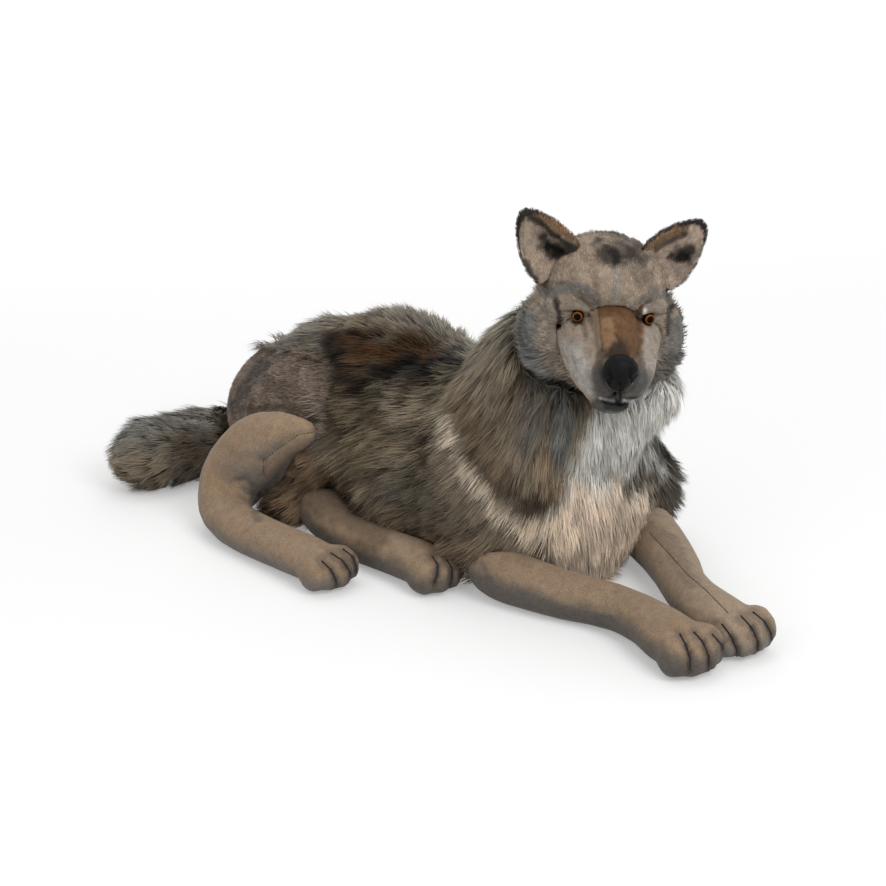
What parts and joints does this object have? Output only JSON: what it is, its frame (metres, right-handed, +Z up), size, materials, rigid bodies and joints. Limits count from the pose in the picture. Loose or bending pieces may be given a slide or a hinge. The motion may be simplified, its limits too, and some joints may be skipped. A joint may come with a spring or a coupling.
{
  "type": "plush wolf",
  "caption": "Life-like stuffed wolf lying on its belly, head raised and turned, forelegs stretched ahead, hind legs laid to its right, bushy tail on the floor.",
  "frame": {"origin": "middle of the footprint on the floor", "axes": "+Z up, -Y towards the forepaws, +X towards the wolf's own left"},
  "size_m": [0.4516, 0.9478, 0.4623],
  "materials": {
    "coat": "long shaggy pile",
    "rump_pile": "short dark pile",
    "mane_pile": "long smooth pile",
    "bib_pile": "long pale pile",
    "tail_pile": "bushy pile",
    "face_pile": "mid-length pile",
    "mask_velour": "short pile",
    "bridge_velour": "short pile",
    "leg_velour": "velour",
    "sole_cloth": "short grey cloth",
    "ear_back": "short dark pile",
    "ear_inner": "short pile",
    "nose_leather": "black imitation leather",
    "eye_gloss": "amber moulded eye"
  },
  "bodies": {
    "root": {"torso": "coat", "rump": "rump_pile", "neck_mane": "mane_pile", "chest_bib": "bib_pile", "tail": "tail_pile", "head": "face_pile", "muzzle_bridge": "bridge_velour", "right_lip_pad": "mask_velour", "left_lip_pad": "mask_velour", "chin": "mask_velour", "right_upper_eyelid": "mask_velour", "left_upper_eyelid": "mask_velour", "right_eye": "eye_gloss", "left_eye": "eye_gloss", "nose": "nose_leather", "right_ear": "ear_back", "left_ear": "ear_back", "right_ear_lining": "ear_inner", "left_ear_lining": "ear_inner", "right_foreleg": "leg_velour", "left_foreleg": "leg_velour", "right_hind_leg": "leg_velour", "left_hind_leg": "leg_velour", "right_forepaw_sole": "sole_cloth", "left_forepaw_sole": "sole_cloth", "right_hind_paw_sole": "sole_cloth", "left_hind_paw_sole": "sole_cloth"}
  },
  "joints": []
}
